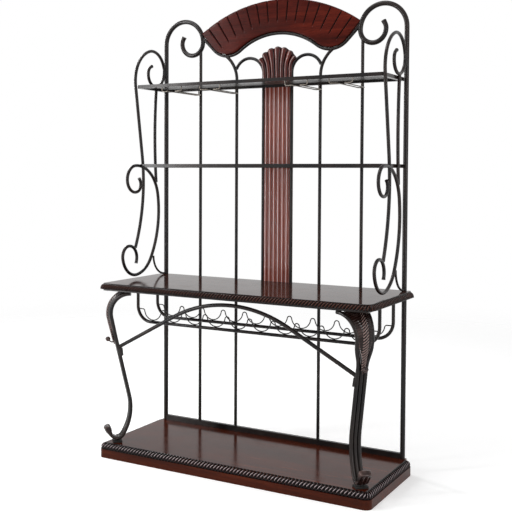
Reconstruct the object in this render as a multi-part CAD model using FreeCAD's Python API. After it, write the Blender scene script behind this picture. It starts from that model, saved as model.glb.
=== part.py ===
import FreeCAD, Part
import math
import os

# Bakers rack: black wrought-iron frame with dark wood base, counter shelf, reeded
# centre panel, shell finial and fan-carved crest.  All sizes in millimetres.
# X to the right, Y to the back (front is -Y), Z up.  Shapes are drawn with the
# back-post plane at y = 0 and moved by BACK when saved, so that the finished
# rack stands centred on the origin.

V = FreeCAD.Vector
os.makedirs("parts", exist_ok=True)

# ---- overall sizes ---------------------------------------------------------
HEIGHT = 2130.0          # floor to the top of the crest
SHELF_HALF = 681.0       # half width of the counter shelf, the widest piece
SHELF_FRONT = 492.0      # counter front edge ahead of the post plane
BACK_EDGE = 12.0         # wood behind the post plane
BACK = (SHELF_FRONT - BACK_EDGE) / 2.0

# ---- wood base -------------------------------------------------------------
BASE_HALF = 673.0
BASE_FRONT = 487.0
BASE_TOP = 66.0
BASE_CORNER = 30.0
BASE_BACK_CORNER = 26.0
BASE_ROPE_TALL = 27.0
BASE_ROPE_DEEP = 24.0

# ---- counter shelf ---------------------------------------------------------
SHELF_TOP = 808.0
SHELF_THICK = 25.0
SHELF_BOTTOM = SHELF_TOP - SHELF_THICK
SHELF_CORNER = 45.0
SHELF_BACK_CORNER = 24.0
SHELF_ROPE_DEEP = 22.0
LIP_THICK = 9.0
LIP_BOTTOM = SHELF_BOTTOM - LIP_THICK

# ---- iron ------------------------------------------------------------------
POST_X = 632.0
POST_R = 11.0
ROD_R = 7.5
OUTER_ROD_X = 427.0
INNER_ROD_X = 221.0
PANEL_ROD_X = 75.0
OUTER_ROD_TOP = HEIGHT - 190.0   # runs into the post's scroll
INNER_ROD_SPRING = HEIGHT - 365.0    # start of its bow up to the crest rail
PANEL_ROD_SPRING = HEIGHT - 342.0
RAIL_TOP = 90.0          # back rail that carries the rods
RAIL_DEEP = 16.0
WIRE_R = 2.5

# ---- post scrolls and crest ------------------------------------------------
SCROLL_R = 108.5
SCROLL_SPRING = HEIGHT - 172.5
SCROLL_INNER_R = 60.5
CREST_TUBE_R = 7.0
CREST_THICK = 18.0
CREST_ARC_R = 732.0
LOBE_R = 115.0
SPAN_R = 333.0
SPAN_ANGLE = 37.07
TIP_X = 413.0
TIP_Z = HEIGHT - 152.6
TIP_RUN = 87.2
FLUTES = 15
FLUTE_STEP = 5.5
FLUTE_FOCUS_Z = HEIGHT - 585.0
FLUTE_FOOT = 482.0       # start of the flutes above their focus
FLUTE_R = 4.5

# ---- upper shelves ---------------------------------------------------------
RAIL = 16.0              # square rail of the shelf frames
TOP_SHELF_Z = HEIGHT - 394.0
TOP_SHELF_FRONT = 254.0
MID_SHELF_Z = 1360.0
MID_SHELF_FRONT = 240.0
FRAME_HALF = POST_X - ROD_R
SHEET = 3.0

# ---- glass hangers ---------------------------------------------------------
HANGER_X = (220.0, 430.0)
HANGER_MOUTH = 54.0      # half the width between the front drops
HANGER_SLOT = 15.0       # half the width of the stem slot
HANGER_DROP = 20.0

# ---- front legs ------------------------------------------------------------
LEG_OFFSET = 184.0       # |x| - |y| of the diagonal plane of a leg
LEG_R = 8.5
LEG_LOW = 17.3           # sideways spacing of the outer tubes, low down
LEG_HIGH = 32.0          # and at the knee
FRONT_FAN = 28.0         # turn of the front tube's top away from the middle one
BACK_FAN = 4.0
BEND_LENGTH = 105.0      # S-bend below the knee
LEG_START = (538.0, LIP_BOTTOM - LEG_R)
KNEE_R = 96.0
KNEE_TURN = 102.9
LEG_SEGS = ((KNEE_R, -KNEE_TURN), (0, 375.7), (242.0, 44.9), (30.0, 62.0))
TOE_SEGS = ((30.0, 80.0), (0, 34.0))

# ---- wine rack -------------------------------------------------------------
RACK_HALF = 618.0
RACK_Z = 606.0
RACK_BEND = 75.0
RACK_FRONT = -254.0
RACK_REAR = -94.5
CRADLES = 10
CRADLE_PITCH = 118.0
CRADLE_R = 48.5
WAVE_RISE = 60.0
WAVE_PEAK = RACK_Z + WAVE_RISE

# ---- brace between the legs ------------------------------------------------
BRACE_Y = -432.0
BRACE_R = 8.5
BRACE_ARC = 608.0
BRACE_ANGLE = 28.4
BRACE_TOP = 749.5        # centreline at the middle
BRACE_HALF = 601.0
SADDLE = (14.0, 22.0, 36.0)


# ---- helpers ---------------------------------------------------------------
def save(name, shape):
    """Move a shape to its place and write it as one named piece."""
    placed = shape.copy()
    placed.translate(V(0, BACK, 0))
    placed.exportStep("parts/" + name + ".step")


def mirrored(shape):
    return shape.mirror(V(0, 0, 0), V(1, 0, 0))


def pair(name, shape):
    """Write a right-hand piece and its left-hand twin."""
    save(name + "_right", shape)
    save(name + "_left", mirrored(shape))


def biggest(shape):
    return max(shape.Solids, key=lambda s: s.Volume)


def box(x0, x1, y0, y1, z0, z1):
    return Part.makeBox(x1 - x0, y1 - y0, z1 - z0, V(x0, y0, z0))


def xz(x, z):
    return V(x, 0, z)


def yz_at_post(y, z):
    return V(POST_X, y, z)


def yz_way(heading):
    return V(0, math.cos(math.radians(heading)), math.sin(math.radians(heading)))


def leg_plane(u, z):
    """Point of the right leg's diagonal plane, u outwards to the corner."""
    return V(LEG_OFFSET + u / math.sqrt(2), -u / math.sqrt(2), z)


def walk(start, heading, segs):
    """Tangent lines (0, length) and arcs (radius, sweep) as 2-D pieces."""
    a, b = start
    h = math.radians(heading)
    pieces = []
    for radius, amount in segs:
        if radius == 0:
            a2 = a + amount * math.cos(h)
            b2 = b + amount * math.sin(h)
            pieces.append(("line", (a, b), (a2, b2), None, h, h))
        else:
            sweep = math.radians(amount)
            side = 1.0 if sweep > 0 else -1.0
            ca = a - side * radius * math.sin(h)
            cb = b + side * radius * math.cos(h)
            hm = h + sweep / 2
            h2 = h + sweep
            mid = (ca + side * radius * math.sin(hm), cb - side * radius * math.cos(hm))
            a2 = ca + side * radius * math.sin(h2)
            b2 = cb - side * radius * math.cos(h2)
            pieces.append(("arc", (a, b), (a2, b2), mid, h, h2))
            h = h2
        a, b = a2, b2
    return pieces, (a, b), math.degrees(h)


def path(place, start, heading, segs):
    """Wire of tangent lines and arcs, put in space by place(a, b)."""
    pieces, end, last = walk(start, heading, segs)
    edges = []
    for kind, p, q, mid, _, _ in pieces:
        if kind == "line":
            edges.append(Part.makeLine(place(*p), place(*q)))
        else:
            edges.append(Part.Arc(place(*p), place(*mid), place(*q)).toShape())
    return Part.Wire(edges), end, last


def rod(wire, radius):
    """Round bar along a wire."""
    first = wire.OrderedEdges[0]
    if first.Orientation == "Forward":
        at = first.FirstParameter
        tangent = first.tangentAt(at)
    else:
        at = first.LastParameter
        tangent = first.tangentAt(at) * -1
    ring = Part.Wire(Part.makeCircle(radius, first.valueAt(at), tangent))
    return wire.makePipeShell([ring], True, False)


def bent(points, bend, radius):
    """Round bar through points in space, every corner bent to one radius."""
    edges = []
    here = points[0]
    for i in range(1, len(points) - 1):
        corner = points[i]
        d1 = (points[i - 1] - corner).normalize()
        d2 = (points[i + 1] - corner).normalize()
        half = d1.getAngle(d2) / 2
        cut = bend / math.tan(half)
        bis = (d1 + d2).normalize()
        p = corner + d1 * cut
        q = corner + d2 * cut
        mid = corner + bis * (bend / math.sin(half) - bend)
        if (p - here).Length > 0.01:
            edges.append(Part.makeLine(here, p))
        edges.append(Part.Arc(p, mid, q).toShape())
        here = q
    edges.append(Part.makeLine(here, points[-1]))
    return rod(Part.Wire(edges), radius)


def cap(point, direction, r0, r1, length):
    """Flared blunt end of a scroll."""
    return Part.makeCone(r0, r1, length, point, direction)


def rounded_plate(half, y0, y1, z0, z1, r_front, r_back):
    """Plate with rounded corners, its front corners and back corners apart."""
    pts = []
    edges = []
    corners = (
        (half, y0, r_front, -90.0),
        (half, y1, r_back, 0.0),
        (-half, y1, r_back, 90.0),
        (-half, y0, r_front, 180.0),
    )
    for x, y, r, angle in corners:
        cx = x - math.copysign(r, x)
        cy = y + r if y == y0 else y - r
        ring = []
        for extra in (0.0, 45.0, 90.0):
            t = math.radians(angle + extra)
            ring.append(V(cx + r * math.cos(t), cy + r * math.sin(t), z0))
        pts.append(ring)
    for i, ring in enumerate(pts):
        edges.append(Part.Arc(ring[0], ring[1], ring[2]).toShape())
        edges.append(Part.makeLine(ring[2], pts[(i + 1) % 4][0]))
    return Part.Face(Part.Wire(edges)).extrude(V(0, 0, z1 - z0))


def prism(points, z0, z1):
    ring = [V(x, y, z0) for x, y in points]
    return Part.Face(Part.makePolygon(ring + [ring[0]])).extrude(V(0, 0, z1 - z0))


def ellipse_wire(centre, long_dir, short_dir, half_long, half_short):
    """Closed ellipse with its axes along two given directions."""
    normal = long_dir.cross(short_dir).normalize()
    curve = Part.Ellipse(
        centre + long_dir * half_long, centre + short_dir * half_short, centre
    )
    wire = Part.Wire(curve.toShape())
    assert abs(normal.Length - 1) < 1e-6
    return wire


def moulding_profile(z0, z1, round_r, deep):
    """Section of an edge moulding: x is the distance in from its outer face."""
    mid = round_r * (1 - math.sqrt(0.5))
    return Part.Face(
        Part.Wire(
            [
                Part.makeLine(V(deep, 0, z0), V(0, 0, z0)),
                Part.makeLine(V(0, 0, z0), V(0, 0, z1 - round_r)),
                Part.Arc(V(0, 0, z1 - round_r), V(mid, 0, z1 - mid), V(round_r, 0, z1)).toShape(),
                Part.makeLine(V(round_r, 0, z1), V(deep, 0, z1)),
                Part.makeLine(V(deep, 0, z1), V(deep, 0, z0)),
            ]
        )
    )


def edge_moulding(half, front, profile, corner, back_corner):
    """Moulding in three pieces: the front, and an end that meets it at a mitre."""
    section = profile.mirror(V(0, 0, 0), V(1, 0, 0))
    section.translate(V(half, -front + corner, 0))
    side = section.extrude(V(0, front - corner + BACK_EDGE - back_corner, 0))
    front_axis = V(half - corner, -front + corner, 0)
    side = side.fuse(section.revolve(front_axis, V(0, 0, 1), -45.0))
    section.translate(V(0, front - corner + BACK_EDGE - back_corner, 0))
    back_axis = V(half - back_corner, BACK_EDGE - back_corner, 0)
    side = side.fuse(section.revolve(back_axis, V(0, 0, 1), 90.0))

    section = profile.copy()
    section.rotate(V(0, 0, 0), V(0, 0, 1), 90.0)
    section.translate(V(-half + corner, -front, 0))
    strip = section.extrude(V(2 * (half - corner), 0, 0))
    turn = section.revolve(V(-half + corner, -front + corner, 0), V(0, 0, 1), -45.0)
    strip = strip.fuse(turn).fuse(mirrored(turn))
    return strip.removeSplitter(), side.removeSplitter()


# ---- wood base -------------------------------------------------------------
rope_z = BASE_TOP - BASE_ROPE_TALL
slab = rounded_plate(
    BASE_HALF, -BASE_FRONT, BACK_EDGE, 0, rope_z, BASE_CORNER, BASE_BACK_CORNER
)
deck = rounded_plate(
    BASE_HALF - BASE_ROPE_DEEP,
    -BASE_FRONT + BASE_ROPE_DEEP,
    BACK_EDGE - BASE_ROPE_DEEP,
    rope_z,
    BASE_TOP,
    BASE_CORNER - BASE_ROPE_DEEP,
    BASE_BACK_CORNER - BASE_ROPE_DEEP,
)
tail = BASE_HALF - BASE_BACK_CORNER
deck = deck.fuse(box(-tail, tail, BACK_EDGE - 2 * BASE_ROPE_DEEP, BACK_EDGE, rope_z, BASE_TOP))
save("base_slab", biggest(slab.fuse(deck).removeSplitter()))
front_rope, side_rope = edge_moulding(
    BASE_HALF,
    BASE_FRONT,
    moulding_profile(rope_z, BASE_TOP, 22.0, BASE_ROPE_DEEP),
    BASE_CORNER,
    BASE_BACK_CORNER,
)
save("base_rope_front", front_rope)
pair("base_rope", side_rope)

# ---- posts with scrolls ----------------------------------------------------
post_wire, post_end, post_heading = path(
    xz,
    (POST_X, BASE_TOP),
    90.0,
    (
        (0, SCROLL_SPRING - BASE_TOP),
        (SCROLL_R, 180.0),
        (SCROLL_INNER_R, 180.0),
        (45.0, 28.0),
    ),
)
tip_dir = xz(math.cos(math.radians(post_heading)), math.sin(math.radians(post_heading)))
post = rod(post_wire, POST_R).fuse(cap(xz(*post_end), tip_dir, POST_R, BACK_EDGE, 14.0))
pair("back_post", post)
post_left = mirrored(post)

# ---- crest -----------------------------------------------------------------
crest_segs = (
    (0, TIP_RUN),
    (LOBE_R, 45.0 + SPAN_ANGLE),
    (SPAN_R, -2 * SPAN_ANGLE),
    (LOBE_R, 45.0 + SPAN_ANGLE),
    (0, TIP_RUN),
)
crest_wire, _, _ = path(xz, (-TIP_X, TIP_Z), -45.0, crest_segs)
crest_tube = rod(crest_wire, CREST_TUBE_R)
crest_tube = biggest(crest_tube.cut(post).cut(post_left))
save("crest_rail", crest_tube)

shift = CREST_TUBE_R * math.sin(math.radians(45.0))
low_segs = (
    (0, TIP_RUN),
    (LOBE_R - CREST_TUBE_R, 45.0 + SPAN_ANGLE),
    (SPAN_R + CREST_TUBE_R, -2 * SPAN_ANGLE),
    (LOBE_R - CREST_TUBE_R, 45.0 + SPAN_ANGLE),
    (0, TIP_RUN),
)
low_start = (-TIP_X + shift, TIP_Z + shift)
low_wire, low_end, _ = path(xz, low_start, -45.0, low_segs)
top_z = HEIGHT - CREST_ARC_R
end_x = TIP_X + 6.0
end_z = top_z + math.sqrt(CREST_ARC_R ** 2 - end_x ** 2)
arc = Part.Arc(xz(end_x, end_z), xz(0, HEIGHT), xz(-end_x, end_z)).toShape()
outline = low_wire.Edges + [
    Part.makeLine(xz(*low_end), xz(end_x, end_z)),
    arc,
    Part.makeLine(xz(-end_x, end_z), xz(*low_start)),
]
crest = Part.Face(Part.Wire(Part.__sortEdges__(outline)))
crest.translate(V(0, -CREST_THICK / 2, 0))
crest = crest.extrude(V(0, CREST_THICK, 0))
flute_cutters = []
for i in range(FLUTES):
    lean = math.radians((i - FLUTES // 2) * FLUTE_STEP)
    ray = xz(math.sin(lean), math.cos(lean))
    low = xz(0, FLUTE_FOCUS_Z) + ray * FLUTE_FOOT + V(0, -CREST_THICK / 2 - 2.0, 0)
    flute_cutters.append(Part.makeCylinder(FLUTE_R, 200.0, low, ray))
    flute_cutters.append(Part.makeSphere(FLUTE_R, low))
crest = crest.cut(Part.makeCompound(flute_cutters))
crest = biggest(crest.cut(post).cut(post_left))
save("crest_board", crest)

# ---- back rail and upright rods --------------------------------------------
back_rail = box(-POST_X, POST_X, -RAIL_DEEP / 2, RAIL_DEEP / 2, BASE_TOP, RAIL_TOP)
back_rail = biggest(back_rail.cut(post).cut(post_left))
save("back_rail", back_rail)

outer_rod = Part.makeCylinder(ROD_R, OUTER_ROD_TOP - RAIL_TOP, V(OUTER_ROD_X, 0, RAIL_TOP))
outer_rod = min(outer_rod.cut(post).Solids, key=lambda s: s.BoundBox.ZMin)
pair("back_rod_outer", outer_rod)

inner_wire, _, _ = path(
    xz, (INNER_ROD_X, RAIL_TOP), 90.0, ((0, INNER_ROD_SPRING - RAIL_TOP), (144.0, -54.0))
)
inner_rod = biggest(rod(inner_wire, ROD_R).cut(crest_tube))
pair("back_rod_inner", inner_rod)

panel_wire, _, _ = path(
    xz, (PANEL_ROD_X, SHELF_TOP), 90.0, ((0, PANEL_ROD_SPRING - SHELF_TOP), (77.0, -158.0))
)
panel_rod = biggest(rod(panel_wire, ROD_R).cut(inner_rod))
pair("panel_rod", panel_rod)
panel_rods = Part.makeCompound([panel_rod, mirrored(panel_rod)])

# ---- reeded centre panel and shell finial ----------------------------------
PANEL_HALF = PANEL_ROD_X - ROD_R
PANEL_TOP = TOP_SHELF_Z + 14.0
REEDS = 6
reed_w = 2 * PANEL_HALF / REEDS
edges = []
for i in range(REEDS):
    x0 = -PANEL_HALF + i * reed_w
    edges.append(
        Part.Arc(
            V(x0, -0.5, SHELF_TOP),
            V(x0 + reed_w / 2, -ROD_R, SHELF_TOP),
            V(x0 + reed_w, -0.5, SHELF_TOP),
        ).toShape()
    )
edges.append(Part.makeLine(V(PANEL_HALF, -0.5, SHELF_TOP), V(PANEL_HALF, ROD_R, SHELF_TOP)))
edges.append(Part.makeLine(V(PANEL_HALF, ROD_R, SHELF_TOP), V(-PANEL_HALF, ROD_R, SHELF_TOP)))
edges.append(Part.makeLine(V(-PANEL_HALF, ROD_R, SHELF_TOP), V(-PANEL_HALF, -0.5, SHELF_TOP)))
panel = Part.Face(Part.Wire(edges)).extrude(V(0, 0, PANEL_TOP - SHELF_TOP))
save("reeded_panel", panel)

LOBES = 7
LOBE_LEAN = 23.0
SHELL_FRONT = -14.0
SHELL_BACK = 4.5
SHELL_TOP = PANEL_TOP + 162.0
SHELL_WIDE = 85.7
SHELL_RISE = 72.0
SCALLOP_R = 19.0
SHELL_FOOT = 79.0
SHELL_WAIST = (81.0, PANEL_TOP + 45.0)


def lobe_centre(n):
    lean = math.radians(n * LOBE_LEAN)
    base = SHELL_TOP - SCALLOP_R - SHELL_RISE
    return xz(SHELL_WIDE * math.sin(lean), base + SHELL_RISE * math.cos(lean))


def notch(n):
    """Meeting point of the scallops n and n + 1 on the shell's rim."""
    a = lobe_centre(n)
    b = lobe_centre(n + 1)
    half = (b - a).Length / 2
    out = V(-(b - a).z, 0, (b - a).x).normalize()
    return (a + b) * 0.5 + out * math.sqrt(SCALLOP_R ** 2 - half ** 2)


def rim(n, degrees):
    turn = math.radians(degrees)
    return lobe_centre(n) + xz(math.cos(turn), math.sin(turn)) * SCALLOP_R


last = LOBES // 2
low_right = rim(last, -20.0)
low_left = V(-low_right.x, 0, low_right.z)
feet = [xz(-SHELL_FOOT, PANEL_TOP), xz(SHELL_FOOT, PANEL_TOP)]
waists = [xz(-SHELL_WAIST[0], SHELL_WAIST[1]), xz(*SHELL_WAIST)]
edges = [
    Part.makeLine(feet[0], feet[1]),
    Part.makeLine(feet[1], waists[1]),
    Part.makeLine(waists[1], low_right),
    Part.makeLine(low_left, waists[0]),
    Part.makeLine(waists[0], feet[0]),
]
for n in range(-last, last + 1):
    start = low_left if n == -last else notch(n - 1)
    end = low_right if n == last else notch(n)
    edges.append(Part.Arc(start, rim(n, 90.0 - n * LOBE_LEAN), end).toShape())
shell = Part.Face(Part.Wire(Part.__sortEdges__(edges)))
shell.translate(V(0, SHELL_FRONT, 0))
shell = shell.extrude(V(0, SHELL_BACK - SHELL_FRONT, 0))
groove_pitch = 2 * SHELL_FOOT / LOBES
face_out = V(0, SHELL_FRONT - 1.0, 0)
for n in range(-last, last):
    at = (n + 0.5) * groove_pitch
    low = xz(at, PANEL_TOP - 5.0) + face_out
    bend = xz(at * SHELL_WAIST[0] / SHELL_FOOT, SHELL_WAIST[1]) + face_out
    high = notch(n) + (notch(n) - xz(at, SHELL_WAIST[1])).normalize() * 5.0 + face_out
    for p, q in ((low, bend), (bend, high)):
        shell = shell.cut(Part.makeCylinder(3.5, (q - p).Length, p, q - p))
shell = biggest(shell.cut(panel_rods))
save("shell_finial", shell)

# ---- counter shelf ---------------------------------------------------------
counter = rounded_plate(
    SHELF_HALF - SHELF_ROPE_DEEP,
    -SHELF_FRONT + SHELF_ROPE_DEEP,
    BACK_EDGE - SHELF_ROPE_DEEP,
    SHELF_BOTTOM,
    SHELF_TOP,
    SHELF_CORNER - SHELF_ROPE_DEEP,
    SHELF_BACK_CORNER - SHELF_ROPE_DEEP,
)
tail = SHELF_HALF - SHELF_BACK_CORNER
end = box(-tail, tail, BACK_EDGE - 2 * SHELF_ROPE_DEEP, BACK_EDGE, SHELF_BOTTOM, SHELF_TOP)
counter = counter.fuse(end).removeSplitter()
for x, r in ((POST_X, POST_R), (OUTER_ROD_X, ROD_R), (INNER_ROD_X, ROD_R)):
    gap = r + 0.3
    for s in (-1, 1):
        notch = Part.makeCylinder(gap, 40, V(s * x, 0, SHELF_BOTTOM - 5))
        slot = box(s * x - gap, s * x + gap, 0, BACK_EDGE + 5, SHELF_BOTTOM - 5, SHELF_TOP + 5)
        counter = counter.cut(notch.fuse(slot))

# corner plates under the shelf that carry the legs
PLATE_IN = 535.0
PLATE_OUT = SHELF_HALF - SHELF_ROPE_DEEP - 4.0
PLATE_FRONT = -SHELF_FRONT + SHELF_ROPE_DEEP
PLATE_BACK = PLATE_FRONT + 158.0
BAR_BACK = PLATE_FRONT + 40.0
SCREW_INSET = 12.0
plate = box(PLATE_IN, PLATE_OUT, PLATE_FRONT, PLATE_BACK, LIP_BOTTOM, SHELF_BOTTOM)
front_bar = box(-PLATE_IN, PLATE_IN, PLATE_FRONT, BAR_BACK, LIP_BOTTOM, SHELF_BOTTOM)
screws = []
screw_spots = (
    (PLATE_IN + SCREW_INSET + 2.0, BAR_BACK),
    (PLATE_OUT - SCREW_INSET, PLATE_FRONT + SCREW_INSET + 3.0),
    (PLATE_IN + (PLATE_OUT - PLATE_IN) * 17.0 / 24.0, PLATE_BACK - SCREW_INSET),
    (PLATE_IN + SCREW_INSET, PLATE_BACK - SCREW_INSET),
)
for x, y in screw_spots:
    head = Part.makeCone(3.2, 4.6, 2.5, V(x, y, LIP_BOTTOM - 2.5))
    shank = Part.makeCylinder(2.0, LIP_THICK + 15.0, V(x, y, LIP_BOTTOM))
    screws.append(head.fuse(shank))
    plate = plate.cut(Part.makeCylinder(2.25, 40, V(x, y, LIP_BOTTOM - 5)))
    for s in (-1, 1):
        hole = Part.makeCylinder(2.25, 15.5, V(s * x, y, SHELF_BOTTOM))
        counter = counter.cut(hole)
save("counter_shelf", biggest(counter))
save("counter_front_iron", front_bar.fuse(plate).fuse(mirrored(plate)).removeSplitter())
save("counter_screws", Part.makeCompound(screws + [mirrored(s) for s in screws]))
front_rope, side_rope = edge_moulding(
    SHELF_HALF,
    SHELF_FRONT,
    moulding_profile(SHELF_BOTTOM, SHELF_TOP, 18.0, SHELF_ROPE_DEEP),
    SHELF_CORNER,
    SHELF_BACK_CORNER,
)
save("counter_rope_front", front_rope)
pair("counter_rope", side_rope)

# lugs that carry the back of the shelf on the posts
lug = box(POST_X - 40, POST_X - POST_R + 3, -34, 8, SHELF_BOTTOM - 4, SHELF_BOTTOM)
lug = biggest(lug.cut(post))
save("counter_lugs", Part.makeCompound([lug, mirrored(lug)]))

# ---- upper shelves ---------------------------------------------------------
for name, top, front, corner in (
    ("top_shelf", TOP_SHELF_Z, TOP_SHELF_FRONT, 8.0),
    ("mid_shelf", MID_SHELF_Z, MID_SHELF_FRONT, 18.0),
):
    outer = rounded_plate(FRAME_HALF, -front, -ROD_R, top - RAIL, top, corner, 2.0)
    inner = rounded_plate(
        FRAME_HALF - RAIL, -front + RAIL, -ROD_R - RAIL, top - RAIL - 1, top + 1, 4.0, 4.0
    )
    frame = outer.cut(inner).cut(post).cut(post_left)
    save(name + "_frame", biggest(frame))
    sheet_top = top - 3.0
    sheet = rounded_plate(
        FRAME_HALF - RAIL, -front + RAIL, -ROD_R - RAIL, sheet_top - SHEET, sheet_top, 4.0, 4.0
    )
    save(name + "_sheet", sheet)

# ---- stemware hangers ------------------------------------------------------
hang_z = TOP_SHELF_Z - RAIL - HANGER_DROP
front_y = -TOP_SHELF_FRONT + RAIL / 2
rear_y = -ROD_R - RAIL / 2
for label, x in zip(("inner", "outer"), HANGER_X):
    trail = [
        V(x - HANGER_MOUTH, front_y, TOP_SHELF_Z - RAIL),
        V(x - HANGER_MOUTH, front_y, hang_z),
        V(x - HANGER_SLOT, front_y, hang_z),
        V(x - HANGER_SLOT, rear_y, hang_z),
        V(x + HANGER_SLOT, rear_y, hang_z),
        V(x + HANGER_SLOT, front_y, hang_z),
        V(x + HANGER_MOUTH, front_y, hang_z),
        V(x + HANGER_MOUTH, front_y, TOP_SHELF_Z - RAIL),
    ]
    strut = Part.makeCylinder(WIRE_R, HANGER_DROP, V(x, rear_y, hang_z))
    pair("stem_hanger_" + label, bent(trail, 9.0, WIRE_R).fuse(strut))

# ---- side frames -----------------------------------------------------------
BAR_SHOULDER_Z = 1402.0  # level from which the bar runs straight to the top shelf
BAR_FOOT_LEAN = 67.0     # heading of the bar at its foot
BAR_LEAN = 99.0          # and along its straight run
BOW_TURN = 81.0
BOW_Y = -147.1087        # depth that the bow's first sweep reaches
REAR_TOP = (11.7817, -3.9799)    # top of the rear bar from the bow's curl
c_wire, c_end, c_heading = path(
    yz_at_post,
    (-222.0, 1276.0),
    -53.0,
    (
        (36.0, -107.0),
        (61.0, -121.0),
        (68.0, -74.0),
        (172.0, -84.5),
        (441.0, -42.0),
        (156.0, -49.0),
        (101.0, -90.0),
        (49.0, -92.0),
        (59.0, -116.0),
    ),
)
c_scroll = rod(c_wire, ROD_R)
drop = SHELF_TOP - c_scroll.BoundBox.ZMin
for point, heading in (((-222.0, 1276.0), 127.0), (c_end, c_heading)):
    c_scroll = c_scroll.fuse(cap(yz_at_post(*point), yz_way(heading), ROD_R, 8.5, 9.0))
c_scroll.translate(V(0, 0, drop))
pair("side_c_scroll", c_scroll)

bar_foot = (-258.0, 950.0 + drop)
rise = ((812.0, BAR_LEAN - BAR_FOOT_LEAN), (0, TOP_SHELF_Z - BAR_SHOULDER_Z))
_, bar_top, _ = path(yz_at_post, bar_foot, BAR_FOOT_LEAN, rise)
sweep = math.sin(math.radians(BAR_LEAN)) - math.sin(math.radians(BAR_LEAN - BOW_TURN))
bow = (((BOW_Y - bar_top[0]) / sweep, -BOW_TURN), (97.0, -98.0), (77.0, -101.0))
tail = ((56.0, -101.0), (36.0, -53.0))
bar_wire, bar_end, bar_heading = path(yz_at_post, bar_foot, BAR_FOOT_LEAN, rise + bow + tail)
_, curl, _ = path(yz_at_post, bar_foot, BAR_FOOT_LEAN, rise + bow)
bar = rod(bar_wire, ROD_R).cut(c_scroll)
pieces = sorted([s for s in bar.Solids if s.Volume > 2000], key=lambda s: s.BoundBox.ZMin)
side_strut = pieces[0]
side_bow = pieces[-1].fuse(cap(yz_at_post(*bar_end), yz_way(bar_heading), ROD_R, 8.5, 9.0))
pair("side_strut", side_strut)
pair("side_bow", side_bow)

rear_low = MID_SHELF_Z - 88.0
rear_top = curl[0] + REAR_TOP[0]
rear_high = curl[1] + REAR_TOP[1]
rear_arc = Part.Arc(
    yz_at_post(rear_top, rear_high),
    yz_at_post((rear_top - 88.0) / 2 - 11.5, (rear_high + rear_low) / 2),
    yz_at_post(-88.0, rear_low),
).toShape()
rear_bar = biggest(rod(Part.Wire([rear_arc]), ROD_R).cut(side_bow).cut(c_scroll))
pair("side_rear_bar", rear_bar)

FOOT_R = 5.0
foot_wire, _, _ = path(
    yz_at_post, (-110.0, SHELF_TOP + FOOT_R + 95.0), -90.0, ((95.0, 90.0), (0, 15.0))
)
foot = biggest(rod(foot_wire, FOOT_R).cut(c_scroll).cut(post))
pair("side_foot_rod", foot)

# ---- front legs ------------------------------------------------------------
leg_pieces, leg_end, leg_heading = walk(LEG_START, 0.0, LEG_SEGS)
across = V(1, 1, 0).normalize()
outward = V(1, -1, 0).normalize()


def station(pieces, distance):
    """Point and heading on a 2-D walk at a distance from its start."""
    for kind, p, q, mid, h1, h2 in pieces:
        chord = math.hypot(q[0] - p[0], q[1] - p[1])
        if kind == "line":
            length = chord
        else:
            radius = chord / (2 * abs(math.sin((h2 - h1) / 2)))
            length = radius * abs(h2 - h1)
        if distance <= length + 1e-6:
            t = distance / length
            if kind == "line":
                return (p[0] + t * (q[0] - p[0]), p[1] + t * (q[1] - p[1])), h1
            side = 1.0 if h2 > h1 else -1.0
            h = h1 + t * (h2 - h1)
            ca = p[0] - side * radius * math.sin(h1)
            cb = p[1] + side * radius * math.cos(h1)
            return (ca + side * radius * math.sin(h), cb - side * radius * math.cos(h)), h
        distance -= length
    return pieces[-1][2], pieces[-1][5]


def outer_tube(side, fan_degrees):
    """Tube beside the middle one: fanned out under the shelf, wide at the knee
    and close below an S-bend."""
    away = across * side
    lean = math.radians(-KNEE_TURN)
    way = outward * math.cos(lean) + V(0, 0, math.sin(lean))
    inward = outward * math.sin(lean) - V(0, 0, math.cos(lean))
    fan = math.radians(fan_degrees)
    toward = inward * math.cos(fan) + away * math.sin(fan)
    turn = math.pi + math.atan(way.z / toward.z)
    rise = (1 - math.cos(turn)) * toward.z - math.sin(turn) * way.z
    (_, knee_spot), (_, line_end) = leg_pieces[0][1:3], leg_pieces[1][1:3]
    radius = (LEG_START[1] - knee_spot[1]) / rise
    a = leg_plane(*knee_spot) + away * LEG_HIGH

    def on_arc(share):
        t = turn * share
        return a + toward * (radius * (1 - math.cos(t))) - way * (radius * math.sin(t))

    edges = [Part.Arc(on_arc(1.0), on_arc(0.5), a).toShape()]
    move = LEG_HIGH - LEG_LOW
    bend_r = (BEND_LENGTH ** 2 + move ** 2) / (4 * move)
    half = math.asin(BEND_LENGTH / 2 / bend_r) / 2
    sag = bend_r * (1 - math.cos(half))
    d = a + way * BEND_LENGTH - away * move
    c = (a + d) * 0.5
    offset = away * LEG_LOW
    edges.append(Part.Arc(a, a + way * (bend_r * math.sin(half)) - away * sag, c).toShape())
    edges.append(Part.Arc(c, d - way * (bend_r * math.sin(half)) + away * sag, d).toShape())
    edges.append(Part.makeLine(d, leg_plane(*line_end) + offset))
    for kind, p, q, mid, h1, h2 in leg_pieces[2:]:
        ends = [leg_plane(*spot) + offset for spot in (p, mid, q)]
        edges.append(Part.Arc(*ends).toShape())
    return rod(Part.Wire(edges), LEG_R)


def leg_length(pieces):
    total = 0.0
    for kind, p, q, mid, h1, h2 in pieces:
        chord = math.hypot(q[0] - p[0], q[1] - p[1])
        if kind == "line":
            total += chord
        else:
            total += chord / (2 * abs(math.sin((h2 - h1) / 2))) * abs(h2 - h1)
    return total


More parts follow.
